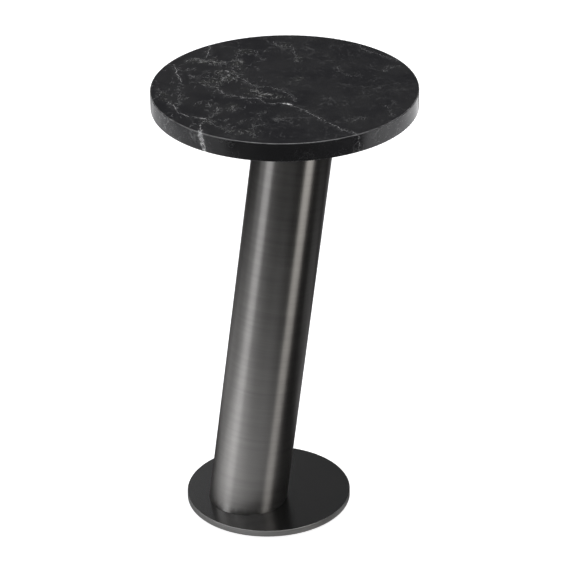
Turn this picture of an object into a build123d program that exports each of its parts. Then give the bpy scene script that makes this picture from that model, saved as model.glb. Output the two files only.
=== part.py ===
"""Round pedestal side table: a stone disc carried by a leaning steel column on a thin steel base disc.

Millimetres. +Z is up, +X is the way the column leans, and the origin is on the floor under the top's axis.
"""

import os
from math import cos, radians, sin, tan

from build123d import *

# Overall sizes
TOTAL_HEIGHT = 620.0
TOP_DIAMETER = 355.6
TOP_THICKNESS = 25.4
BASE_DIAMETER = 228.6
BASE_THICKNESS = 9.0
COLUMN_DIAMETER = 108.0
COLUMN_WALL = 2.5
LEAN = 8.8  # degrees from upright, in the XZ plane

# Places along X
BASE_X = -34.0  # the base disc's axis
COLUMN_FOOT_X = -68.0  # the column's axis where it meets the base disc

# Stone edges and steel edges
TOP_ARRIS = 1.4
TOP_LOWER_ARRIS = 1.0
BASE_ARRIS = 0.5
COLUMN_ARRIS = 0.3

# Plates, gasket and ballast
FLANGE_DIAMETER = 200.0
FLANGE_THICKNESS = 5.0
FLANGE_ARRIS = 0.6
GASKET_DIAMETER = 196.0
GASKET_OPENING = 80.0
GASKET_THICKNESS = 1.5
FOOT_PLATE_DIAMETER = 102.6
FOOT_PLATE_THICKNESS = 8.0
BALLAST_DIAMETER = 56.0
BALLAST_LENGTH = 130.0
BALLAST_ARRIS = 1.5
VENT_DIAMETER = 12.0

# Fasteners
THREAD_GAP = 0.05  # radial gap between a screw and its thread, which is drawn plain
HOLE_GAP = 0.5  # radial clearance of a screw in a plain hole
M6_RADIUS = 3.0
M8_RADIUS = 4.0
M10_RADIUS = 5.0
TOP_BOLT_CIRCLE = 88.0  # radius
TOP_SCREW_LENGTH = 20.0
TOP_SCREW_POINT = 0.7  # chamfer at the tip
BUTTON_HEAD_RADIUS = 5.25
BUTTON_HEAD_HEIGHT = 3.3
BUTTON_HEAD_ROUND = 2.0
BUTTON_SOCKET_FLATS = 4.0
BUTTON_SOCKET_DEPTH = 2.0
WASHER_RADIUS = 6.2
WASHER_THICKNESS = 1.6
WASHER_BORE_RADIUS = 3.2
LOCK_WASHER_RADIUS = 5.6
LOCK_WASHER_GAP = 1.2
LOCK_WASHER_SLANT = 20.0  # degrees, of the split
INSERT_RADIUS = 5.5
INSERT_LENGTH = 14.0
INSERT_HOLE_DEPTH = 15.5
INSERT_GROOVES = 3
INSERT_GROOVE_RADIUS = 0.4
BASE_BOLT_CIRCLE = 38.0  # radius
BASE_SCREW_LENGTH = 25.0
BASE_SCREW_HEAD_RADIUS = 8.0
BASE_SOCKET_FLATS = 5.0
WELD_NUT_FLATS = 14.0
WELD_NUT_HEIGHT = 6.5
BALLAST_SCREW_LENGTH = 25.0
BALLAST_SCREW_HEAD_RADIUS = 9.5
BALLAST_SOCKET_FLATS = 6.0
BALLAST_THREAD_DEPTH = 22.0
SINK_GAP = 0.3  # how far a countersunk head sits below the face
SOCKET_SHARE = 0.75  # a socket's depth as a share of its head's height
POINT_SHARE = 0.2  # a tip's chamfer as a share of the screw's radius

# Levelling glides, screwed up into blind threads in the base disc
GLIDE_CIRCLE = 96.0  # radius from the base disc's axis
GLIDE_HEIGHT = 4.0  # floor to the base disc's underside
GLIDE_PAD_RADIUS = 12.0
GLIDE_PAD_THICKNESS = 3.8
GLIDE_FLANGE_RADIUS = 5.0
GLIDE_FLANGE_THICKNESS = 2.0
GLIDE_STUD_LENGTH = 6.2
GLIDE_STUD_POINT = 0.7
GLIDE_THREAD_DEPTH = 7.0
GLIDE_FOOT_ROUND = 1.2
GLIDE_TOP_ROUND = 0.4
GLIDE_GRIPS = 24
GLIDE_GRIP_RADIUS = 0.7
GLIDE_GRIP_DEPTH = 0.35

# Heights worked out from the sizes above
BASE_Z = GLIDE_HEIGHT
BASE_TOP_Z = BASE_Z + BASE_THICKNESS
FOOT_PLATE_TOP_Z = BASE_TOP_Z + FOOT_PLATE_THICKNESS
TOP_Z = TOTAL_HEIGHT - TOP_THICKNESS
GASKET_Z = TOP_Z - GASKET_THICKNESS
FLANGE_Z = GASKET_Z - FLANGE_THICKNESS
WASHER_Z = FLANGE_Z - WASHER_THICKNESS
LOCK_WASHER_Z = WASHER_Z - WASHER_THICKNESS

UP = (Align.CENTER, Align.CENTER, Align.MIN)
DOWN = (Align.CENTER, Align.CENTER, Align.MAX)


def column_x(z):
    """The column's axis at a height."""
    return COLUMN_FOOT_X + (z - BASE_TOP_Z) * tan(radians(LEAN))


FOOT_PLATE_X = column_x(BASE_TOP_Z + FOOT_PLATE_THICKNESS / 2)
COLUMN_PLANE = Plane(
    origin=(COLUMN_FOOT_X, 0, BASE_TOP_Z),
    x_dir=(cos(radians(LEAN)), 0, -sin(radians(LEAN))),
    z_dir=(sin(radians(LEAN)), 0, cos(radians(LEAN))),
)


def ring_of_places(x, radius, count, start, z=0.0):
    """Points on a level circle round (x, 0), as locations."""
    turns = [radians(start + 360 / count * i) for i in range(count)]
    return [Location((x + radius * cos(t), radius * sin(t), z)) for t in turns]


def looking_down(place):
    """The same place with its Z axis turned to point down, for a hole feature that goes up."""
    return place * Location((0, 0, 0), (180, 0, 0))


def top_bolts(z):
    return ring_of_places(0, TOP_BOLT_CIRCLE, 4, 45, z)


def base_bolts(z):
    return ring_of_places(FOOT_PLATE_X, BASE_BOLT_CIRCLE, 4, 45, z)


GLIDE_NAMES = ("front", "left", "back", "right")
GLIDE_PLACES = ring_of_places(BASE_X, GLIDE_CIRCLE, len(GLIDE_NAMES), 0)

# ---- The top and what fixes it ----

with BuildPart() as marble_top:
    with BuildSketch(Plane.XY.offset(TOP_Z)):
        Circle(TOP_DIAMETER / 2)
    extrude(amount=TOP_THICKNESS)
    fillet(marble_top.edges().group_by(Axis.Z)[-1], TOP_ARRIS)
    fillet(marble_top.edges().group_by(Axis.Z)[0], TOP_LOWER_ARRIS)
    with Locations(*[looking_down(p) for p in top_bolts(TOP_Z)]):
        Hole(INSERT_RADIUS + THREAD_GAP, depth=INSERT_HOLE_DEPTH)

with BuildPart() as stone_inserts:
    with Locations(*top_bolts(TOP_Z)):
        Cylinder(INSERT_RADIUS, INSERT_LENGTH, align=UP)
        Cylinder(M6_RADIUS + THREAD_GAP, INSERT_LENGTH, align=UP, mode=Mode.SUBTRACT)
    # grip grooves round the body
    for groove in range(1, INSERT_GROOVES + 1):
        groove_z = TOP_Z + INSERT_LENGTH * groove / (INSERT_GROOVES + 1)
        with Locations(*top_bolts(groove_z)):
            Torus(INSERT_RADIUS, INSERT_GROOVE_RADIUS, mode=Mode.SUBTRACT)

with BuildPart() as top_gasket:
    with BuildSketch(Plane.XY.offset(GASKET_Z)):
        Circle(GASKET_DIAMETER / 2)
        with Locations((column_x(GASKET_Z), 0)):
            Circle(GASKET_OPENING / 2, mode=Mode.SUBTRACT)
        with Locations(*top_bolts(0)):
            Circle(WASHER_BORE_RADIUS, mode=Mode.SUBTRACT)
    extrude(amount=GASKET_THICKNESS)

with BuildPart() as head_flange:
    with BuildSketch(Plane.XY.offset(FLANGE_Z)):
        Circle(FLANGE_DIAMETER / 2)
        with Locations((column_x(FLANGE_Z), 0)):
            Circle(VENT_DIAMETER / 2, mode=Mode.SUBTRACT)
        with Locations(*top_bolts(0)):
            Circle(M6_RADIUS + HOLE_GAP, mode=Mode.SUBTRACT)
    extrude(amount=FLANGE_THICKNESS)
    rims = head_flange.edges().filter_by(GeomType.CIRCLE).sort_by(SortBy.RADIUS)[-2:]
    chamfer(rims, FLANGE_ARRIS)

with BuildPart() as top_washers:
    with Locations(*top_bolts(WASHER_Z)):
        Cylinder(WASHER_RADIUS, WASHER_THICKNESS, align=UP)
        Cylinder(WASHER_BORE_RADIUS, WASHER_THICKNESS, align=UP, mode=Mode.SUBTRACT)

with BuildPart() as top_lock_washers:
    with Locations(*top_bolts(LOCK_WASHER_Z)):
        Cylinder(LOCK_WASHER_RADIUS, WASHER_THICKNESS, align=UP)
        Cylinder(WASHER_BORE_RADIUS, WASHER_THICKNESS, align=UP, mode=Mode.SUBTRACT)
        # the slanted split of a spring washer
        with Locations(Location((WASHER_RADIUS, 0, WASHER_THICKNESS / 2), (LOCK_WASHER_SLANT, 0, 0))):
            Box(WASHER_RADIUS * 2, LOCK_WASHER_GAP, WASHER_THICKNESS * 2, mode=Mode.SUBTRACT)

with BuildPart() as top_screws:
    with Locations(*top_bolts(LOCK_WASHER_Z)):
        Cylinder(M6_RADIUS, TOP_SCREW_LENGTH, align=UP)
        Cylinder(BUTTON_HEAD_RADIUS, BUTTON_HEAD_HEIGHT, align=DOWN)
    # every head's face lies at one height, so one group holds their rims
    fillet(top_screws.edges().group_by(Axis.Z)[0], BUTTON_HEAD_ROUND)
    chamfer(top_screws.edges().group_by(Axis.Z)[-1], TOP_SCREW_POINT)
    with BuildSketch(Plane.XY.offset(LOCK_WASHER_Z - BUTTON_HEAD_HEIGHT)):
        with Locations(*top_bolts(0)):
            RegularPolygon(BUTTON_SOCKET_FLATS / 2, 6, major_radius=False)
    extrude(amount=BUTTON_SOCKET_DEPTH, mode=Mode.SUBTRACT)

# ---- The column ----

with BuildPart() as column_tube:
    with BuildSketch(COLUMN_PLANE):
        Circle(COLUMN_DIAMETER / 2)
        Circle(COLUMN_DIAMETER / 2 - COLUMN_WALL, mode=Mode.SUBTRACT)
    extrude(amount=TOTAL_HEIGHT, both=True)
    split(bisect_by=Plane.XY.offset(FLANGE_Z), keep=Keep.BOTTOM)
    split(bisect_by=Plane.XY.offset(BASE_TOP_Z), keep=Keep.TOP)
    cut_ends = (
        column_tube.edges().group_by(Axis.Z)[0].sort_by(SortBy.LENGTH)[-1],
        column_tube.edges().group_by(Axis.Z)[-1].sort_by(SortBy.LENGTH)[-1],
    )
    fillet(cut_ends, COLUMN_ARRIS)

with BuildPart() as foot_plate:
    with BuildSketch(Plane.XY.offset(BASE_TOP_Z)):
        with Locations((FOOT_PLATE_X, 0)):
            Circle(FOOT_PLATE_DIAMETER / 2)
    extrude(amount=FOOT_PLATE_THICKNESS)
    with Locations(*base_bolts(FOOT_PLATE_TOP_Z)):
        Hole(M8_RADIUS + HOLE_GAP)
    with Locations(looking_down(Location((FOOT_PLATE_X, 0, BASE_TOP_Z)))):
        CounterSinkHole(M10_RADIUS + HOLE_GAP, BALLAST_SCREW_HEAD_RADIUS + HOLE_GAP)

with BuildPart() as weld_nuts:
    with BuildSketch(Plane.XY.offset(FOOT_PLATE_TOP_Z)):
        with Locations(*base_bolts(0)):
            RegularPolygon(WELD_NUT_FLATS / 2, 6, major_radius=False)
            Circle(M8_RADIUS + THREAD_GAP, mode=Mode.SUBTRACT)
    extrude(amount=WELD_NUT_HEIGHT)

with BuildPart() as ballast_slug:
    with BuildSketch(Plane.XY.offset(FOOT_PLATE_TOP_Z)):
        with Locations((FOOT_PLATE_X, 0)):
            Circle(BALLAST_DIAMETER / 2)
    extrude(amount=BALLAST_LENGTH)
    chamfer(ballast_slug.edges(), BALLAST_ARRIS)
    with Locations(looking_down(Location((FOOT_PLATE_X, 0, FOOT_PLATE_TOP_Z)))):
        Hole(M10_RADIUS + THREAD_GAP, depth=BALLAST_THREAD_DEPTH)


def countersunk_screws(places, z, radius, head_radius, length, socket_flats):
    """Screws with 90 degree heads in a face at height z, pointing up; makes one solid for each place."""
    head_height = head_radius - radius
    with BuildPart() as screws:
        with Locations(*[place * Location((0, 0, z + SINK_GAP)) for place in places]):
            Cone(head_radius, radius, head_height, align=UP)
            Cylinder(radius, length - SINK_GAP, align=UP)
        with BuildSketch(Plane.XY.offset(z + SINK_GAP)):
            with Locations(*places):
                RegularPolygon(socket_flats / 2, 6, major_radius=False)
        extrude(amount=head_height * SOCKET_SHARE, mode=Mode.SUBTRACT)
        chamfer(screws.edges().group_by(Axis.Z)[-1], radius * POINT_SHARE)
    return screws


ballast_screw = countersunk_screws(
    [Location((FOOT_PLATE_X, 0, 0))],
    BASE_TOP_Z,
    M10_RADIUS,
    BALLAST_SCREW_HEAD_RADIUS,
    BALLAST_SCREW_LENGTH,
    BALLAST_SOCKET_FLATS,
)

# ---- The base ----

with BuildPart() as base_plate:
    with BuildSketch(Plane.XY.offset(BASE_Z)):
        with Locations((BASE_X, 0)):
            Circle(BASE_DIAMETER / 2)
    extrude(amount=BASE_THICKNESS)
    fillet(base_plate.edges(), BASE_ARRIS)
    with Locations(*[looking_down(p) for p in base_bolts(BASE_Z)]):
        CounterSinkHole(M8_RADIUS + HOLE_GAP, BASE_SCREW_HEAD_RADIUS + HOLE_GAP)
    with Locations(*[looking_down(place * Location((0, 0, BASE_Z))) for place in GLIDE_PLACES]):
        Hole(M6_RADIUS + THREAD_GAP, depth=GLIDE_THREAD_DEPTH)

base_screws = countersunk_screws(
    base_bolts(0),
    BASE_Z,
    M8_RADIUS,
    BASE_SCREW_HEAD_RADIUS,
    BASE_SCREW_LENGTH,
    BASE_SOCKET_FLATS,
)


def glide_pad(place):
    """A nylon glide body with a finger grip round its rim and a pocket for the stud's flange."""
    with BuildPart() as pad:
        with Locations(place):
            Cylinder(GLIDE_PAD_RADIUS, GLIDE_PAD_THICKNESS, align=UP)
        fillet(pad.edges().group_by(Axis.Z)[0], GLIDE_FOOT_ROUND)
        fillet(pad.edges().group_by(Axis.Z)[-1], GLIDE_TOP_ROUND)
        with Locations(place):
            with PolarLocations(GLIDE_PAD_RADIUS + GLIDE_GRIP_RADIUS - GLIDE_GRIP_DEPTH, GLIDE_GRIPS):
                Cylinder(GLIDE_GRIP_RADIUS, GLIDE_PAD_THICKNESS, align=UP, mode=Mode.SUBTRACT)
        with Locations(place * Location((0, 0, GLIDE_PAD_THICKNESS))):
            Cylinder(
                GLIDE_FLANGE_RADIUS + THREAD_GAP,
                GLIDE_FLANGE_THICKNESS,
                align=DOWN,
                mode=Mode.SUBTRACT,
            )
    return pad


def glide_stud(place):
    """A steel stud with a round flange, moulded into its pad."""
    with BuildPart() as stud:
        with Locations(place * Location((0, 0, GLIDE_PAD_THICKNESS))):
            Cylinder(GLIDE_FLANGE_RADIUS, GLIDE_FLANGE_THICKNESS, align=DOWN)
            Cylinder(M6_RADIUS, GLIDE_STUD_LENGTH, align=UP)
        chamfer(stud.edges().group_by(Axis.Z)[-1], GLIDE_STUD_POINT)
    return stud


pieces = {
    "marble_top": marble_top,
    "stone_inserts": stone_inserts,
    "top_gasket": top_gasket,
    "head_flange": head_flange,
    "top_washers": top_washers,
    "top_lock_washers": top_lock_washers,
    "top_screws": top_screws,
    "column_tube": column_tube,
    "foot_plate": foot_plate,
    "weld_nuts": weld_nuts,
    "ballast_slug": ballast_slug,
    "ballast_screw": ballast_screw,
    "base_plate": base_plate,
    "base_screws": base_screws,
}
for name, place in zip(GLIDE_NAMES, GLIDE_PLACES):
    pieces[f"glide_pad_{name}"] = glide_pad(place)
    pieces[f"glide_stud_{name}"] = glide_stud(place)

os.makedirs("parts", exist_ok=True)
for name, piece in pieces.items():
    piece.part.label = name
    export_step(piece.part, f"parts/{name}.step")
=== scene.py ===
"""Looks for the round pedestal table: materials, finer pieces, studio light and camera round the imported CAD.

Metres, in the row's frame: +Z up, +X the way the column leans, origin on the floor under the top's axis.
Textures are laid out in millimetres.
"""
from math import acos, atan2, cos, hypot, pi, radians, sin

import bpy
from mathutils import Euler, Matrix, Vector


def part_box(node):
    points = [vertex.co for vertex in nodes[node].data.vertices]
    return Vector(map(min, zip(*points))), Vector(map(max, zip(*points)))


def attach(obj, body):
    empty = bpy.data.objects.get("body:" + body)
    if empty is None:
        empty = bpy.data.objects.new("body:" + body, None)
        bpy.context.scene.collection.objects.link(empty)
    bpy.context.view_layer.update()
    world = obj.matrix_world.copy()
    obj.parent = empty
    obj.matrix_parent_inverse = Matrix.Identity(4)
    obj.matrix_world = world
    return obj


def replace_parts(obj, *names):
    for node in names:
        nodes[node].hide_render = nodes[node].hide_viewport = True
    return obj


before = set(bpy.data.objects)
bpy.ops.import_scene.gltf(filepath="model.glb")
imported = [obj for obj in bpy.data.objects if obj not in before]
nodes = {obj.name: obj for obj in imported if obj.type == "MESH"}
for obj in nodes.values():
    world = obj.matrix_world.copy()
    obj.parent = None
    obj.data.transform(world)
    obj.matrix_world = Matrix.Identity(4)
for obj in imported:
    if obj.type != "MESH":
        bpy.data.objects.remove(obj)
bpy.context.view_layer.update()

PER_MM = 1000.0  # from metres to millimetres

# The camera looks a little down on the table, from the side that the column leans away from.
CAMERA_TURN = radians(32.53)  # its heading, from +Y towards +X
CAMERA_TILT = radians(27.59)  # below level
CAMERA_ROLL = radians(0.66)
CAMERA_DISTANCE = 4.063
CAMERA_LENS = 187.9  # mm, on a sensor of SENSOR_WIDTH
SENSOR_WIDTH = 36.0
CAMERA_REACH = 50.0
AIM = Vector((-0.0020, 0.0014, 0.3253))

UP = Vector((0, 0, 1))
GLIDES = ("front", "left", "back", "right")

# Places read from the imported CAD nodes
TOP_LOW, TOP_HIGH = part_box("marble_top")
TOP_RADIUS = (TOP_HIGH.x - TOP_LOW.x) / 2
BASE_LOW, BASE_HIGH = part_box("base_plate")
BASE_RADIUS = (BASE_HIGH.x - BASE_LOW.x) / 2
BASE_CENTRE = (BASE_LOW + BASE_HIGH) / 2
COLUMN_LOW, COLUMN_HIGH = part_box("column_tube")
COLUMN_DIAMETER = COLUMN_HIGH.y - COLUMN_LOW.y


def column_lean():
    """The column's angle from upright. Its box is diameter / cos(lean) + tall * tan(lean) long in X."""
    across = COLUMN_HIGH.x - COLUMN_LOW.x
    tall = COLUMN_HIGH.z - COLUMN_LOW.z
    return acos(COLUMN_DIAMETER / hypot(across, tall)) - atan2(tall, across)


def heading(turn, tilt=0.0):
    """A unit vector: turn goes from +Y towards +X, and tilt raises it."""
    return Vector((sin(turn) * cos(tilt), cos(turn) * cos(tilt), sin(tilt)))


LEAN = column_lean()  # radians
COLUMN_AXIS = Vector((sin(LEAN), 0, cos(LEAN)))
COLUMN_FOOT = Vector((COLUMN_LOW.x + COLUMN_DIAMETER / 2 / cos(LEAN), 0, COLUMN_LOW.z))


# ---- Node helpers ----


def first_enabled(sockets):
    return next(s for s in sockets if s.enabled)


class Tree:
    """The nodes of one material or group. Its methods add a node and give back an output socket."""

    def __init__(self, tree):
        self.tree = tree

    def fill(self, socket, value):
        if isinstance(value, bpy.types.NodeSocket):
            self.tree.links.new(value, socket)
        elif value is not None:
            socket.default_value = value

    def node(self, kind, *values, **settings):
        """A node whose usable inputs take the values in order. None leaves an input as it is."""
        node = self.tree.nodes.new("ShaderNode" + kind)
        for key, value in settings.items():
            setattr(node, key, value)
        for socket, value in zip([s for s in node.inputs if s.enabled], values):
            self.fill(socket, value)
        return node

    def math(self, operation, *values):
        return self.node("Math", *values, operation=operation).outputs[0]

    def vector(self, operation, *values):
        return first_enabled(self.node("VectorMath", *values, operation=operation).outputs)

    def split(self, vector):
        """The three parts of a vector."""
        return self.node("SeparateXYZ", vector).outputs

    def place(self):
        """The point in the row's frame, in millimetres."""
        return self.vector("SCALE", self.node("TexCoord").outputs["Object"], PER_MM)

    def seen_from(self, place, location=(0, 0, 0), rotation=(0, 0, 0), scale=(1, 1, 1)):
        """The point in axes that stand at location, are turned by rotation and stretched by scale."""
        return self.node("Mapping", place, location, rotation, scale, vector_type="TEXTURE").outputs[0]

    def noise(self, place, size, detail=2.0, roughness=0.5, seed=0, output="Fac"):
        """Noise from 0 to 1 with features about size long. Seed moves it to another stretch of noise."""
        place = self.vector("ADD", place, (seed * 173.0, seed * 71.0, seed * 37.0)) if seed else place
        return self.node("TexNoise", place, 1 / size, detail, roughness).outputs[output]

    def ramp(self, value, low, high, out_low=0.0, out_high=1.0):
        """A soft step from out_low at low to out_high at high. High may be the smaller."""
        values = (value, low, high, out_low, out_high)
        return self.node("MapRange", *values, interpolation_type="SMOOTHSTEP").outputs[0]

    def blend(self, factor, a, b):
        return first_enabled(self.node("Mix", factor, a, b, data_type="FLOAT").outputs)

    def tint(self, factor, a, b):
        return first_enabled(self.node("Mix", factor, a, b, data_type="RGBA").outputs)

    def most(self, values):
        """The largest of several values."""
        result = values[0]
        for value in values[1:]:
            result = self.math("MAXIMUM", result, value)
        return result

    def bump(self, height, distance):
        """A normal for a height of 0 to 1 that stands for a distance in metres."""
        return self.node("Bump", 1.0, distance, None, height).outputs[0]


def new_material(name, **values):
    """A material, its tree and its Principled shader. Values set the shader's own sockets."""
    material = bpy.data.materials.new(name)
    material.use_nodes = True
    tree = Tree(material.node_tree)
    shader = material.node_tree.nodes["Principled BSDF"]
    for key, value in values.items():
        tree.fill(shader.inputs[key.replace("_", " ")], value)
    return material, tree, shader


def put_on(material, *names):
    """Puts a material on CAD nodes."""
    for name in names:
        for slot in nodes[name].material_slots:
            slot.material = material


# ---- The stone ----

# The slab's own axes: x and y lie in its face, turned from the row's, and its veins are laid out in them.
STONE_TURN = radians(32.1)
VEIN_DIP = (0.28, -0.22, 0.0)  # how far a vein has moved sideways for each unit of depth
FRAGMENT = 6.5  # mm, the size of the pieces that the stone was crushed into
UPPER_EASE = 1.5  # mm, how far the honing and the painted highlight of the upper edge reach
LOWER_EASE = 1.1  # mm, and of the lower
VEIN_REACH = 60.0  # the furthest that a vein's points lie from its chord

# Each vein: width in mm, brightness, then its points in the slab's axes.
VEINS = (
    # the bright nodes
    (3.2, 1.00, ((9, -57), (-5, -51))),
    (2.0, 0.80, ((-79, 58), (-73, 51))),
    # from the first node to the rim
    (0.7, 0.62, ((3, -52), (31, -83), (45, -102), (59, -120), (71, -136), (95, -153))),
    # from the node, below the broken patch
    (0.8, 0.46, ((4, -53), (-8, -51), (-25, -49), (-37, -35), (-48, -34), (-62, -28), (-75, -26),
                 (-83, -12), (-89, 0), (-102, 6), (-111, 12))),
    # above the broken patch, and on to the far left
    (0.6, 0.36, ((17, -48), (8, -28), (-3, -12), (-18, 0), (-40, 6), (-52, 25), (-60, 34), (-68, 46),
                 (-80, 55))),
    (0.6, 0.22, ((-60, 34), (-69, 62), (-65, 95), (-58, 120))),
    (0.8, 0.42, ((-62, 118), (-54, 126), (-46, 129), (-34, 115))),
    # the far left corner
    (0.8, 0.46, ((-134, 88), (-119, 99), (-102, 89), (-83, 86), (-60, 95))),
    (1.0, 0.45, ((-100, 145), (-103, 114), (-108, 95), (-116, 88))),
    # the left
    (1.0, 0.55, ((-146, 71), (-143, 52), (-139, 34), (-136, 22))),
    (0.6, 0.20, ((-136, 22), (-139, -6), (-138, -30), (-140, -55))),
    (0.7, 0.28, ((-141, 60), (-123, 62), (-117, 70))),
    (0.7, 0.28, ((-130, 42), (-110, 37), (-95, 33), (-83, 28))),
    # the near left
    (1.1, 0.62, ((-160, -38), (-145, -55), (-140, -74), (-126, -88), (-108, -95), (-102, -97))),
    (1.1, 0.45, ((-102, -95), (-106, -106), (-109, -118), (-110, -139))),
    (6.0, 0.90, ((-109, -130), (-111, -146), (-110, -175))),
    (0.7, 0.30, ((-103, -97), (-97, -108), (-83, -126), (-66, -139))),
    (0.7, 0.32, ((-102, -97), (-92, -85), (-88, -72), (-88, -60))),
    (0.8, 0.32, ((-168, 4), (-163, -8), (-166, -22), (-176, -38))),
    # the far middle and the right
    (0.7, 0.28, ((-13, 155), (-7, 140), (0, 136), (9, 137), (14, 124), (16, 105), (18, 84))),
    (0.8, 0.30, ((104, 145), (108, 124), (132, 103), (158, 80))),
    (0.7, 0.12, ((70, 66), (77, 46), (92, 32), (103, 38))),
    (0.7, 0.10, ((158, 64), (140, 60), (133, 45))),
    (0.7, 0.14, ((130, -62), (136, -80), (138, -98))),
    (0.7, 0.10, ((74, -112), (92, -105), (104, -101))),
    (0.7, 0.10, ((-24, -72), (-34, -92), (-38, -111), (-43, -136))),
)

# Patches where the stone is broken up by fine veins: centre, half sizes, turn in degrees, amount.
BROKEN_PATCHES = (
    ((-28, -22), (36, 17), -28, 1.00),
    ((-78, 38), (26, 34), 40, 0.85),
    ((-104, 88), (38, 15), -12, 0.90),
    ((-62, 78), (14, 34), 8, 0.65),
    ((-50, 122), (20, 10), -10, 0.60),
    ((-96, 18), (26, 16), -20, 0.75),
    ((-70, -62), (12, 16), 10, 0.60),
    ((-100, -104), (14, 14), 0, 0.70),
    ((-60, -138), (34, 10), -14, 0.50),
    ((-158, -22), (13, 34), 8, 0.50),
    ((4, 142), (17, 14), 0, 0.50),
    ((20, 96), (12, 20), 0, 0.40),
    ((18, 25), (10, 14), 0, 0.45),
    ((84, 50), (22, 24), -30, 0.12),
    ((140, -4), (26, 40), 20, 0.09),
    ((86, -108), (26, 12), 15, 0.12),
    ((136, -84), (10, 18), 0, 0.13),
)


def vein_line_group():
    """A group that draws one vein and keeps the strongest of it and the veins drawn before it.

    Share runs from 0 to 1 along the vein's chord. Beside is how far off that chord the point is, in
    millimetres. Bend is how far off it the vein is, as the curve's own 0 to 1.
    """
    group = bpy.data.node_groups.new("vein line", "ShaderNodeTree")
    inputs = ("Share", "Beside", "Bend", "Width", "Brightness", "Wander", "Breaks", "Lines", "Nearness")
    for name in inputs:
        group.interface.new_socket(name, in_out="INPUT", socket_type="NodeSocketFloat")
    for name in ("Lines", "Nearness"):
        group.interface.new_socket(name, in_out="OUTPUT", socket_type="NodeSocketFloat")
    t = Tree(group)
    given = group.nodes.new("NodeGroupInput").outputs
    share, beside, bend, width, brightness, wander, breaks, lines, nearness = given[:len(inputs)]
    offset = t.math("MULTIPLY", t.math("SUBTRACT", bend, 0.5), 2 * VEIN_REACH)
    distance = t.math("ABSOLUTE", t.math("SUBTRACT", beside, offset))
    started = t.ramp(share, 0.0, 0.03)
    ends = t.math("MULTIPLY", started, t.ramp(share, 1.0, 0.97))
    breadth = t.math("MULTIPLY", width, t.ramp(wander, 0.3, 0.7, 0.3, 1.1))
    core = t.ramp(distance, breadth, t.math("MULTIPLY", breadth, 0.1))
    halo = t.ramp(distance, t.math("MULTIPLY_ADD", breadth, 3.0, 1.0), 0.0, 0.0, 0.07)
    strength = t.math("MULTIPLY", brightness, t.ramp(breaks, 0.38, 0.62, 0.06, 1.0))
    line = t.math("MULTIPLY", t.math("MULTIPLY", t.math("MAXIMUM", core, halo), strength), ends)
    near = t.math("MULTIPLY", t.ramp(distance, 9.0, 1.0), ends)
    out = group.nodes.new("NodeGroupOutput")
    t.fill(out.inputs["Lines"], t.math("MAXIMUM", lines, line))
    t.fill(out.inputs["Nearness"], t.math("MAXIMUM", nearness, near))
    return group


def draw_veins(t, slab):
    """How strongly the veins show at a point, and how near it is to one, both from 0 to 1."""
    group = vein_line_group()
    wander = t.noise(slab, 5.0, 3.0)
    breaks = t.noise(slab, 3.2, 3.0, 0.6, seed=9)
    lines = nearness = 0.0
    for width, brightness, points in VEINS:
        start = Vector(points[0])
        chord = Vector(points[-1]) - start
        across = chord.orthogonal().normalized()
        step = t.vector("SUBTRACT", slab, start.to_3d())
        share = t.vector("DOT_PRODUCT", step, (chord / chord.length_squared).to_3d())
        beside = t.vector("DOT_PRODUCT", step, across.to_3d())
        bend = t.node("FloatCurve", 1.0, share)
        curve = bend.mapping.curves[0]
        curve.points[0].location = (0, 0.5)
        curve.points[1].location = (1, 0.5)
        for point in points[1:-1]:
            leg = Vector(point) - start
            side = leg.dot(across)
            curve.points.new(leg.dot(chord) / chord.length_squared, 0.5 + side / (2 * VEIN_REACH))
        bend.mapping.update()
        vein = t.tree.nodes.new("ShaderNodeGroup")
        vein.node_tree = group
        values = (share, beside, bend.outputs[0], width, brightness, wander, breaks, lines, nearness)
        for socket, value in zip(vein.inputs, values):
            t.fill(socket, value)
        lines, nearness = vein.outputs
    return lines, nearness


def draw_patches(t, slab):
    """How broken up the stone is at a point, from 0 to 1."""
    ragged = t.ramp(t.noise(slab, 9.0, 3.0, 0.6), 0.3, 0.7, -0.3, 0.3)
    patches = []
    for centre, half_sizes, turn, amount in BROKEN_PATCHES:
        seen = t.seen_from(slab, (*centre, 0), (0, 0, radians(turn)), (*half_sizes, PER_MM))
        reach = t.math("ADD", t.vector("LENGTH", seen), ragged)
        patches.append(t.ramp(reach, 1.15, 0.35, 0.0, amount))
    return t.most(patches)


def draw_crackle(t, slab, cell, width):
    """A net of fine cracks round cells of about the given size, broken off here and there."""
    edge = t.node("TexVoronoi", slab, 1 / cell, feature="DISTANCE_TO_EDGE").outputs[0]
    crack = t.ramp(edge, width / cell, 0.15 * width / cell)
    return t.math("MULTIPLY", crack, t.ramp(t.noise(slab, cell, 2.0, 0.5, seed=cell), 0.46, 0.62))


def crush(t, slab):
    """Moves the point, so that veins wander and step where two fragments of the crushed stone meet."""
    bends = t.noise(slab, 16.0, 3.0, output="Color")
    kinks = t.noise(slab, 5.0, 1.5, output="Color")
    steps = t.node("TexVoronoi", slab, 1 / FRAGMENT).outputs["Color"]
    for push, shift in ((bends, 4.0), (kinks, 2.4), (steps, 2.6)):
        slab = t.vector("ADD", slab, t.vector("SCALE", t.vector("SUBTRACT", push, (0.5, 0.5, 0.5)), shift))
    return slab


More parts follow.
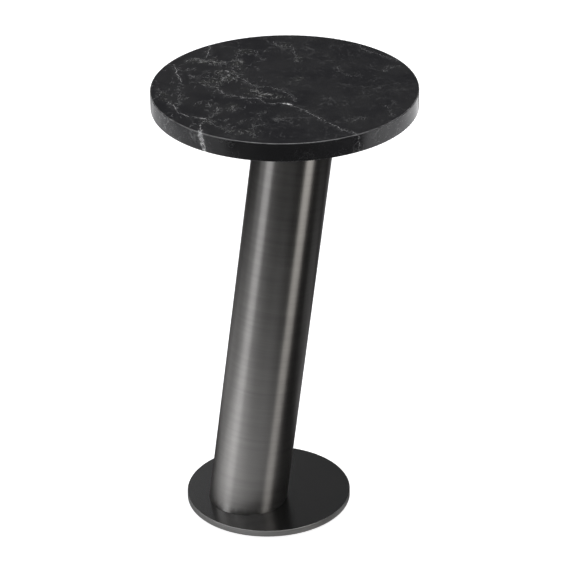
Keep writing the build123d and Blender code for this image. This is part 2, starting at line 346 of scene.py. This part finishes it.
def draw_whites(t, slab, broken):
    """How white a point is, from 0 to 1: the veins, fine cracks and flecks round them, and a faint web."""
    lines, nearness = draw_veins(t, slab)
    shattered = t.math("MAXIMUM", broken, t.math("MULTIPLY", nearness, 0.28))
    net = t.math("MAXIMUM", draw_crackle(t, slab, 11.0, 0.7), draw_crackle(t, slab, 5.0, 0.45))
    net = t.math("MULTIPLY", t.math("MULTIPLY", net, shattered), 0.38)
    flecks = t.ramp(t.noise(slab, 2.2, 3.0, 0.6, seed=3), 0.60, 0.74, 0.0, 0.27)
    flecks = t.math("MULTIPLY", flecks, shattered)
    web = t.math("MAXIMUM", draw_crackle(t, slab, 24.0, 1.0), draw_crackle(t, slab, 9.0, 0.6))
    web = t.math("MULTIPLY", web, t.ramp(t.noise(slab, 30.0, 2.0, seed=6), 0.42, 0.60))
    across = t.vector("DOT_PRODUCT", slab, (1, 0, 0))
    web = t.math("MULTIPLY", web, t.ramp(across, 20.0, -60.0, 0.055, 0.11))
    return t.most((lines, net, flecks, web))


def find_finishes(t, place):
    """Where the stone isn't polished: how far the honing of its eased edges reaches, where a painted highlight
    also lightens them, and where its underside is sawn.
    """
    x, y, z = t.split(place)
    radius = t.math("SQRT", t.math("ADD", t.math("MULTIPLY", x, x), t.math("MULTIPLY", y, y)))
    rim = t.ramp(radius, TOP_RADIUS * PER_MM - UPPER_EASE, TOP_RADIUS * PER_MM - LOWER_EASE)
    depth = t.math("SUBTRACT", TOP_HIGH.z * PER_MM, z)
    height = t.math("SUBTRACT", z, TOP_LOW.z * PER_MM)
    upper = t.math("MULTIPLY", rim, t.ramp(depth, UPPER_EASE, LOWER_EASE))
    lower = t.math("MULTIPLY", rim, t.ramp(height, LOWER_EASE, 0.8, 0.0, 0.5))
    uneven = t.ramp(t.noise(place, 12.0, 3.0), 0.3, 0.6, 0.4, 1.0)
    return t.math("MULTIPLY", t.math("MAXIMUM", upper, lower), uneven), t.ramp(height, 0.3, 0.1)


def black_marble():
    material, t, shader = new_material("black marble", IOR=1.52)
    place = t.place()
    depth = t.math("SUBTRACT", TOP_HIGH.z * PER_MM, t.split(place)[2])
    slab = t.seen_from(place, rotation=(0, 0, -STONE_TURN))
    slab = crush(t, t.vector("SUBTRACT", slab, t.vector("SCALE", VEIN_DIP, depth)))
    broken = draw_patches(t, slab)
    white = draw_whites(t, slab, broken)
    honed_and_highlight, sawn = find_finishes(t, place)

    clouds = t.ramp(t.noise(slab, 45.0, 4.0, 0.55, seed=1), 0.35, 0.65)
    field = t.tint(clouds, (0.0080, 0.0080, 0.0096, 1), (0.0150, 0.0149, 0.0160, 1))
    fill = t.math("MULTIPLY", broken, t.ramp(t.noise(slab, 7.0, 4.0, 0.6, seed=2), 0.4, 0.7, 0.1, 0.8))
    field = t.tint(fill, field, (0.040, 0.041, 0.033, 1))
    # Painted highlight: the eased edges are lightened, partly for the honing's greyer look and partly to stand
    # in for the glint of light along the arris.
    field = t.tint(honed_and_highlight, field, (0.090, 0.090, 0.091, 1))
    field = t.tint(sawn, field, (0.060, 0.060, 0.058, 1))
    t.fill(shader.inputs["Base Color"], t.tint(white, field, (0.62, 0.62, 0.62, 1)))

    polish = t.ramp(t.noise(place, 22.0, 4.0, 0.6, seed=8), 0.3, 0.7, 0.11, 0.17)
    rough = t.blend(white, polish, 0.30)
    rough = t.blend(honed_and_highlight, rough, 0.20)
    t.fill(shader.inputs["Roughness"], t.blend(sawn, rough, 0.62))
    saw_marks = t.noise(t.seen_from(place, scale=(90.0, 1.4, 1.0)), 1.0, 3.0)
    ripple = t.blend(sawn, t.math("MULTIPLY", t.noise(place, 40.0, 1.0), 0.4), saw_marks)
    t.fill(shader.inputs["Normal"], t.bump(ripple, 0.00012))
    return material


# ---- Metals, rubber and plastic ----


def brushed_gunmetal():
    """The column's steel, brushed round and round, so that each lamp is drawn out along the column."""
    material, t, shader = new_material(
        "brushed gunmetal", Metallic=1.0, Anisotropic=0.85, Specular_Tint=(0.62, 0.62, 0.62, 1)
    )
    foot = COLUMN_FOOT * PER_MM
    turn = (0, LEAN, 0)
    place = t.place()
    fine = t.noise(t.seen_from(place, foot, turn, (55.0, 55.0, 0.35)), 1.0, 3.0, 0.6)
    coarse = t.noise(t.seen_from(place, foot, turn, (90.0, 90.0, 5.0)), 1.0, 3.0, 0.6, seed=2)
    cloud = t.noise(t.seen_from(place, foot, turn, (40.0, 40.0, 90.0)), 1.0, 3.0, 0.5, seed=4)
    brushing = t.blend(0.6, fine, coarse)
    along = t.split(t.seen_from(place, foot, turn))[2]
    rub = t.math("MULTIPLY", t.ramp(along, 9.0, 0.5), t.ramp(t.noise(place, 6.0, 3.0), 0.45, 0.65))

    shade = t.math("ADD", t.ramp(brushing, 0.25, 0.75, 0.43, 0.57), t.ramp(cloud, 0.3, 0.7, -0.015, 0.015))
    steel = t.tint(shade, (0.10, 0.098, 0.095, 1), (0.62, 0.606, 0.592, 1))
    t.fill(shader.inputs["Base Color"], t.tint(t.math("MULTIPLY", rub, 0.3), steel, (0.55, 0.55, 0.55, 1)))
    rough = t.math("ADD", t.ramp(brushing, 0.25, 0.75, 0.29, 0.33), t.ramp(cloud, 0.3, 0.7, -0.01, 0.01))
    t.fill(shader.inputs["Roughness"], rough)
    t.fill(shader.inputs["Tangent"], t.node("CombineXYZ", *COLUMN_AXIS).outputs[0])
    t.fill(shader.inputs["Normal"], t.bump(brushing, 0.000006))
    return material


def dark_base_steel():
    """The base disc: a dark satin face with a faint straight grain, and a rim turned bright on a lathe."""
    material, t, shader = new_material("dark base steel", Metallic=1.0)
    place = t.place()
    centre = (BASE_CENTRE.x * PER_MM, 0, BASE_LOW.z * PER_MM)
    x, y = t.split(t.seen_from(place, centre))[:2]
    radius = t.math("SQRT", t.math("ADD", t.math("MULTIPLY", x, x), t.math("MULTIPLY", y, y)))
    rim = t.ramp(radius, BASE_RADIUS * PER_MM - 0.7, BASE_RADIUS * PER_MM - 0.35)
    grain = t.noise(t.seen_from(place, scale=(70.0, 0.5, 1.0)), 1.0, 3.0, 0.6)
    turned = t.noise(t.seen_from(place, scale=(90.0, 90.0, 0.25)), 1.0, 2.0, 0.5, seed=2)
    cloud = t.noise(place, 35.0, 3.0, 0.55, seed=3)
    scuffs = t.ramp(t.noise(place, 3.0, 4.0, 0.7, seed=4), 0.6, 0.72)
    scuffs = t.math("MULTIPLY", scuffs, t.ramp(radius, 85.0, 114.0))

    shade = t.math("ADD", t.ramp(grain, 0.3, 0.7, 0.475, 0.525), t.ramp(cloud, 0.3, 0.7, -0.012, 0.012))
    face = t.tint(shade, (0.18, 0.18, 0.18, 1), (0.31, 0.31, 0.31, 1))
    face = t.tint(t.math("MULTIPLY", scuffs, 0.08), face, (0.5, 0.5, 0.5, 1))
    edge = t.tint(t.ramp(turned, 0.3, 0.7), (0.36, 0.355, 0.35, 1), (0.50, 0.495, 0.49, 1))
    t.fill(shader.inputs["Base Color"], t.tint(rim, face, edge))
    rough = t.math("ADD", t.ramp(grain, 0.3, 0.7, 0.215, 0.225), t.ramp(cloud, 0.3, 0.7, -0.004, 0.004))
    t.fill(shader.inputs["Roughness"], t.blend(rim, rough, t.ramp(turned, 0.3, 0.7, 0.36, 0.46)))
    t.fill(shader.inputs["Normal"], t.bump(t.blend(rim, t.math("MULTIPLY", grain, 0.05), turned), 0.00001))
    return material


def mottled(name, dark, light, rough, size, depth, **values):
    """A finish that clouds between two colours and two roughnesses. Its fine surface has the given depth."""
    material, t, shader = new_material(name, **values)
    place = t.place()
    cloud = t.noise(place, size, 4.0, 0.6)
    fine = t.noise(place, size / 12, 3.0, 0.6, seed=1)
    mix = t.ramp(t.blend(0.4, cloud, fine), 0.35, 0.65)
    t.fill(shader.inputs["Base Color"], t.tint(mix, (*dark, 1), (*light, 1)))
    t.fill(shader.inputs["Roughness"], t.ramp(cloud, 0.3, 0.7, *rough))
    t.fill(shader.inputs["Normal"], t.bump(fine, depth))
    return material


def small_materials():
    """Finishes of the parts that mostly show from below or inside. Gives back two that pieces need too."""
    metal = {"Metallic": 1.0}
    coat = mottled("black flange coat", (0.012,) * 3, (0.022,) * 3, (0.38, 0.5), 9.0, 0.00006)
    mill = mottled("mill steel", (0.20, 0.20, 0.21), (0.36, 0.35, 0.34), (0.38, 0.55), 14.0, 0.00003, **metal)
    zinc = mottled("zinc plate", (0.52, 0.54, 0.58), (0.68, 0.68, 0.66), (0.26, 0.40), 5.0, 0.00002, **metal)
    oxide = mottled(
        "black oxide", (0.035, 0.035, 0.038), (0.075, 0.073, 0.072), (0.34, 0.5), 5.0, 0.00002, **metal
    )
    brass = mottled("brass", (0.60, 0.42, 0.18), (0.74, 0.56, 0.28), (0.26, 0.40), 5.0, 0.00002, **metal)
    rubber = mottled("black rubber", (0.012,) * 3, (0.024, 0.024, 0.023), (0.70, 0.88), 12.0, 0.00008)
    nylon = mottled("black nylon", (0.016, 0.016, 0.017), (0.030, 0.030, 0.031), (0.40, 0.54), 6.0, 0.00005)
    put_on(coat, "head_flange")
    put_on(mill, "foot_plate", "ballast_slug", "weld_nuts")
    put_on(zinc, "top_washers", "top_lock_washers", "top_screws", "ballast_screw")
    put_on(oxide, "base_screws")
    put_on(brass, "stone_inserts")
    put_on(rubber, "top_gasket")
    for side in GLIDES:
        put_on(nylon, "glide_pad_" + side)
    return coat, zinc


# ---- Pieces finer than the CAD ----

WELD_RADIUS = 0.0021
WELD_RIPPLE = 0.00028  # how far each scale stands out
WELD_SCALES = 118  # overlapping scales round the bead
WELD_WAVER = 0.000112  # how much the bead's size drifts
WELD_WAVES = 9  # drifts round the bead
RINGS_PER_SCALE = 8
WELD_SIDES = 14
STUD_RADIUS = 0.003
STUD_FLANGE = 0.002  # the thickness of the flange under the thread
SHARP_CORNER = radians(75)
THREAD_PITCH = 0.001
THREAD_DEPTH = 0.00054
THREAD_POINT = 0.0007
FLANK_RISE = 1.3  # how steeply a groove's flank falls from its crest
CREST_SHARE = 0.15  # how much of that fall the flat crest takes up
RINGS_PER_PITCH = 14
THREAD_SIDES = 40


def make_rings(name, rings, closed, material):
    """A mesh through rings of points. A closed one joins its last ring to its first; another gets caps."""
    sides = len(rings[0])
    faces = []
    for k in range(len(rings) if closed else len(rings) - 1):
        near, far = k * sides, (k + 1) % len(rings) * sides
        for j in range(sides):
            after = (j + 1) % sides
            faces.append((near + j, near + after, far + after, far + j))
    if not closed:
        last = (len(rings) - 1) * sides
        faces += [tuple(reversed(range(sides))), tuple(range(last, last + sides))]
    mesh = bpy.data.meshes.new(name)
    mesh.from_pydata([point for ring in rings for point in ring], [], faces)
    mesh.shade_smooth()
    mesh.materials.append(material)
    piece = bpy.data.objects.new(name, mesh)
    bpy.context.collection.objects.link(piece)
    return piece


def make_head_weld(coat):
    """The rippled bead between the column and the flange under the stone, on the ellipse where they meet."""
    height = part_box("head_flange")[0].z
    middle = COLUMN_FOOT + COLUMN_AXIS * (height - COLUMN_FOOT.z) / COLUMN_AXIS.z
    count = WELD_SCALES * RINGS_PER_SCALE
    rings = []
    for k in range(count):
        turn = 2 * pi * k / count
        corner = middle + Vector((cos(turn) / cos(LEAN), sin(turn), 0)) * COLUMN_DIAMETER / 2
        out = Vector((cos(turn) * cos(LEAN), sin(turn), 0)).normalized()
        scale = WELD_RIPPLE * (k % RINGS_PER_SCALE) / RINGS_PER_SCALE
        reach = WELD_RADIUS + scale + WELD_WAVER * sin(WELD_WAVES * turn)
        round_bead = (2 * pi * j / WELD_SIDES for j in range(WELD_SIDES))
        rings.append([corner + (out * cos(a) - UP * sin(a)) * reach for a in round_bead])
    bead = make_rings("head_weld", rings, True, coat)
    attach(bead, "table")


def level_ring(centre, height, reaches):
    """Points at a height, evenly spaced round centre, each as far out as its reach."""
    turns = [2 * pi * k / len(reaches) for k in range(len(reaches))]
    return [(centre.x + r * cos(a), centre.y + r * sin(a), height) for r, a in zip(reaches, turns)]


def thread_reaches(height, limit):
    """How far out the thread comes at a height, each way round. Limit is what the tip's chamfer leaves."""
    reaches = []
    for j in range(THREAD_SIDES):
        flank = abs(2 * ((height / THREAD_PITCH - j / THREAD_SIDES) % 1) - 1)
        groove = THREAD_DEPTH * min(1.0, max(0.0, FLANK_RISE * flank - CREST_SHARE))
        reaches.append(min(STUD_RADIUS - groove, limit))
    return reaches


def make_stud_thread(side, zinc):
    """A glide's flanged stud with its real thread, in place of the plain CAD one."""
    low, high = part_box("glide_stud_" + side)
    centre = (low + high) / 2
    neck = low.z + STUD_FLANGE
    flange = [(high.x - low.x) / 2] * THREAD_SIDES
    rings = [level_ring(centre, low.z, flange), level_ring(centre, neck, flange)]
    count = round((high.z - neck) / THREAD_PITCH * RINGS_PER_PITCH)
    for k in range(count + 1):
        height = neck + (high.z - neck) * k / count
        limit = STUD_RADIUS - max(0.0, height - high.z + THREAD_POINT)
        rings.append(level_ring(centre, height, thread_reaches(height, limit)))
    stud = make_rings("glide_thread_" + side, rings, False, zinc)
    stud.data.set_sharp_from_angle(angle=SHARP_CORNER)
    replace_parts(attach(stud, "glide_" + side), "glide_stud_" + side)


# ---- Studio ----

# The white sweep: a floor that curves up into a wall all round, beyond every camera.
SWEEP_FLOOR = 6.0
SWEEP_BEND = 2.5
SWEEP_HEIGHT = 7.0
SWEEP_STEPS = 12
SWEEP_SIDES = 96
SWEEP_GLOW = 0.93

# Which CAD nodes a light reaches. The stone, the column and the base were lit apart, as in a product shoot.
STONE = ("marble_top",)
COLUMN = ("column_tube",)
BASE = ("base_plate",)
NOT_STONE = tuple(name for name in nodes if name not in STONE)
ALL = tuple(nodes)

WARM = (1.0, 0.97, 0.93)
PLAIN = (0.99, 0.99, 1.0)

# Light cards that stand round the table: name, turn from the camera towards its right in degrees, distance,
# height of the middle, width, height, radiance, colour, what it lights.
STANDING_CARDS = (
    ("left_key", -63, 3.0, 0.7, 1.7, 2.6, 1.5, PLAIN, ALL),
    ("left_high", -105, 3.0, 3.2, 3.2, 2.2, 1.8, PLAIN, ALL),
    ("right_strip", 51, 3.0, 0.1, 1.7, 2.4, 2.1, WARM, NOT_STONE),
    ("back_left", -148, 3.0, 1.7, 4.0, 2.0, 0.20, PLAIN, NOT_STONE),
    ("back", 180, 3.0, 1.9, 5.0, 2.6, 0.054, PLAIN, ALL),
    ("stone_back_right", 152, 2.0, 0.0, 2.2, 1.4, 0.04, PLAIN, STONE),
    ("column_left", -84, 3.0, 0.5, 1.6, 2.6, 0.35, PLAIN, COLUMN),
    ("base_right", 118, 2.0, -0.95, 2.6, 1.4, 0.35, PLAIN, BASE),
    ("base_back_left", -157, 0.55, 0.34, 0.5, 0.36, 0.06, PLAIN, BASE),
)
# These only light what isn't metal or gloss, such as the stone's veins, and from below the top's face.
FILL_CARDS = (
    ("left_fill", -113, 3.0, -0.3, 3.0, 1.8, 34.0, PLAIN, ALL),
    ("right_fill", 106, 3.0, -0.3, 3.0, 1.8, 30.0, PLAIN, ALL),
)
# Pools of light on the floor: name, turn, distance, width across, length outwards, radiance, what it lights.
FLOOR_POOLS = (
    ("left_pool", -66, 0.62, 0.60, 1.10, 0.55, ALL),
    ("front_pool", -20, 0.48, 1.00, 1.00, 0.40, ALL),
    ("left_side_pool", -118, 0.75, 1.10, 1.20, 0.25, ALL),
    ("right_side_pool", 112, 0.62, 0.60, 0.40, 0.20, ALL),
    ("right_back_pool", 150, 0.36, 0.50, 0.50, 0.30, ALL),
    ("back_pool", 178, 1.15, 1.90, 1.50, 0.40, ALL),
    ("column_pool", -96, 0.70, 1.20, 1.00, 0.35, COLUMN),
    ("column_left_pool", -55, 0.62, 0.64, 1.10, 0.30, COLUMN),
    ("base_front_pool", -8, 0.55, 1.20, 0.80, 0.50, BASE),
)
# Sheets of light with crisp edges, which the stone's polished side mirrors.
STONE_SHEETS = (
    ("left_sheet", -99, 0.98, 2.50, 1.2, 0.65, STONE),
    ("right_sheet", 110, 1.00, 2.16, 1.2, 1.00, STONE),
    ("front_sheet", 8, 1.40, 2.40, 1.2, 0.15, STONE),
)
FADE = 0.35  # the share of a card that doesn't fade
CRISP = 0.9  # the same for a sheet
OVERHEAD_HEIGHT = 3.2
OVERHEAD_SIZE = (5.0, 5.0)
OVERHEAD_RADIANCE = 3.4
POOL_HEIGHT = -0.004  # the pools lie just under the floor, which lets their light through
SHEET_HEIGHT = -0.014
POOL_STEP = -0.001  # each under the last, as a ray that meets two at once would only see one
WORLD_COLOUR = (0.03, 0.03, 0.03, 1)


def round_sheet(name, profile, sides):
    """A mesh of revolution about Z from (radius, height) points. The first point may be on the axis."""
    turns = [2 * pi * k / sides for k in range(sides)]
    points = [(r * cos(a), r * sin(a), z) for r, z in profile for a in turns]
    faces = []
    for ring in range(len(profile) - 1):
        for k in range(sides):
            near, far = ring * sides, (ring + 1) * sides
            after = (k + 1) % sides
            faces.append((near + k, near + after, far + after, far + k))
    mesh = bpy.data.meshes.new(name)
    mesh.from_pydata(points, [], faces)
    mesh.shade_smooth()
    sheet = bpy.data.objects.new(name, mesh)
    bpy.context.collection.objects.link(sheet)
    return sheet


def make_sweep():
    """The white floor and backdrop. The table mirrors the cards, not the sweep."""
    profile = [(0.0, 0.0), (SWEEP_FLOOR / 2, 0.0)]
    for k in range(SWEEP_STEPS + 1):
        angle = pi / 2 * k / SWEEP_STEPS
        profile.append((SWEEP_FLOOR + SWEEP_BEND * sin(angle), SWEEP_BEND * (1 - cos(angle))))
    profile.append((SWEEP_FLOOR + SWEEP_BEND, SWEEP_HEIGHT))
    sweep = round_sheet("sweep", profile, SWEEP_SIDES)
    material = new_material(
        "white sweep",
        Base_Color=(0.5, 0.5, 0.5, 1),
        Roughness=1.0,
        Emission_Color=(1, 1, 1, 1),
        Emission_Strength=SWEEP_GLOW,
    )[0]
    sweep.data.materials.append(material)
    sweep.visible_glossy = False
    sweep.visible_diffuse = False
    sweep.visible_shadow = False


def card_material(name, radiance, colour, solid):
    """Light that adds to whatever is behind the card, and fades out from its solid middle to its edges."""
    material = bpy.data.materials.new(name)
    material.use_nodes = True
    material.node_tree.nodes.clear()
    t = Tree(material.node_tree)
    middle = t.seen_from(t.node("TexCoord").outputs["Generated"], (0.5, 0.5, 0), (0, 0, 0), (0.5, 0.5, 1))
    x, y = t.split(middle)[:2]
    fade = t.math("MULTIPLY", *(t.ramp(t.math("ABSOLUTE", v), 1.0, solid) for v in (x, y)))
    glow = t.node("Emission", (*colour, 1), t.math("MULTIPLY", fade, radiance)).outputs[0]
    both = t.node("AddShader", glow, t.node("BsdfTransparent").outputs[0]).outputs[0]
    t.fill(t.node("OutputMaterial").inputs[0], both)
    return material


def make_card(name, place, facing, upward, size, radiance, colour, lit, solid=FADE):
    """A card of light, which the camera doesn't see and which only reaches the CAD nodes named in lit."""
    width, height = size
    corners = [(x * width / 2, y * height / 2, 0) for x, y in ((-1, -1), (1, -1), (1, 1), (-1, 1))]
    mesh = bpy.data.meshes.new(name)
    mesh.from_pydata(corners, [], [(0, 1, 2, 3)])
    mesh.materials.append(card_material(name, radiance, colour, solid))
    card = bpy.data.objects.new(name, mesh)
    bpy.context.collection.objects.link(card)
    card.location = place
    card.rotation_mode = "QUATERNION"
    card.rotation_quaternion = Matrix((upward.cross(facing), upward, facing)).transposed().to_quaternion()
    card.visible_camera = False
    card.visible_shadow = False
    if lit != ALL:
        reached = bpy.data.collections.new(name + "_reaches")
        for node in lit:
            reached.objects.link(nodes[node])
        card.light_linking.receiver_collection = reached
    return card


def toward(turn):
    """A level direction, turned from the camera's towards its right."""
    return heading(CAMERA_TURN + pi - radians(turn))


def make_standing_card(name, turn, distance, middle, width, height, radiance, colour, lit):
    place = toward(turn) * distance + UP * middle
    return make_card(name, place, -toward(turn), UP, (width, height), radiance, colour, lit)


def make_floor_cards(cards, height, solid):
    for k, (name, turn, distance, width, length, radiance, lit) in enumerate(cards):
        place = toward(turn) * distance + UP * (height + POOL_STEP * k)
        make_card(name, place, UP, toward(turn), (width, length), radiance, PLAIN, lit, solid)


def make_lights():
    for card in STANDING_CARDS:
        make_standing_card(*card)
    for card in FILL_CARDS:
        make_standing_card(*card).visible_glossy = False
    make_floor_cards(FLOOR_POOLS, POOL_HEIGHT, FADE)
    make_floor_cards(STONE_SHEETS, SHEET_HEIGHT, CRISP)
    overhead = UP * OVERHEAD_HEIGHT
    make_card("overhead", overhead, -UP, heading(CAMERA_TURN), OVERHEAD_SIZE, OVERHEAD_RADIANCE, PLAIN, ALL)
    world = bpy.data.worlds.new("studio")
    world.use_nodes = True
    world.node_tree.nodes["Background"].inputs["Color"].default_value = WORLD_COLOUR
    bpy.context.scene.world = world


def make_camera():
    forward = heading(CAMERA_TURN, -CAMERA_TILT)
    data = bpy.data.cameras.new("camera")
    data.lens = CAMERA_LENS
    data.sensor_width = SENSOR_WIDTH
    data.clip_end = CAMERA_REACH
    camera = bpy.data.objects.new("camera", data)
    bpy.context.collection.objects.link(camera)
    camera.location = AIM - forward * CAMERA_DISTANCE
    camera.rotation_mode = "QUATERNION"
    roll = Euler((0, 0, -CAMERA_ROLL)).to_quaternion()
    camera.rotation_quaternion = forward.to_track_quat("-Z", "Y") @ roll
    bpy.context.scene.camera = camera
    bpy.context.scene.view_settings.view_transform = "Standard"


make_camera()
put_on(black_marble(), "marble_top")
put_on(brushed_gunmetal(), "column_tube")
put_on(dark_base_steel(), "base_plate")
coat, zinc = small_materials()
make_head_weld(coat)
for side in GLIDES:
    make_stud_thread(side, zinc)
make_sweep()
make_lights()
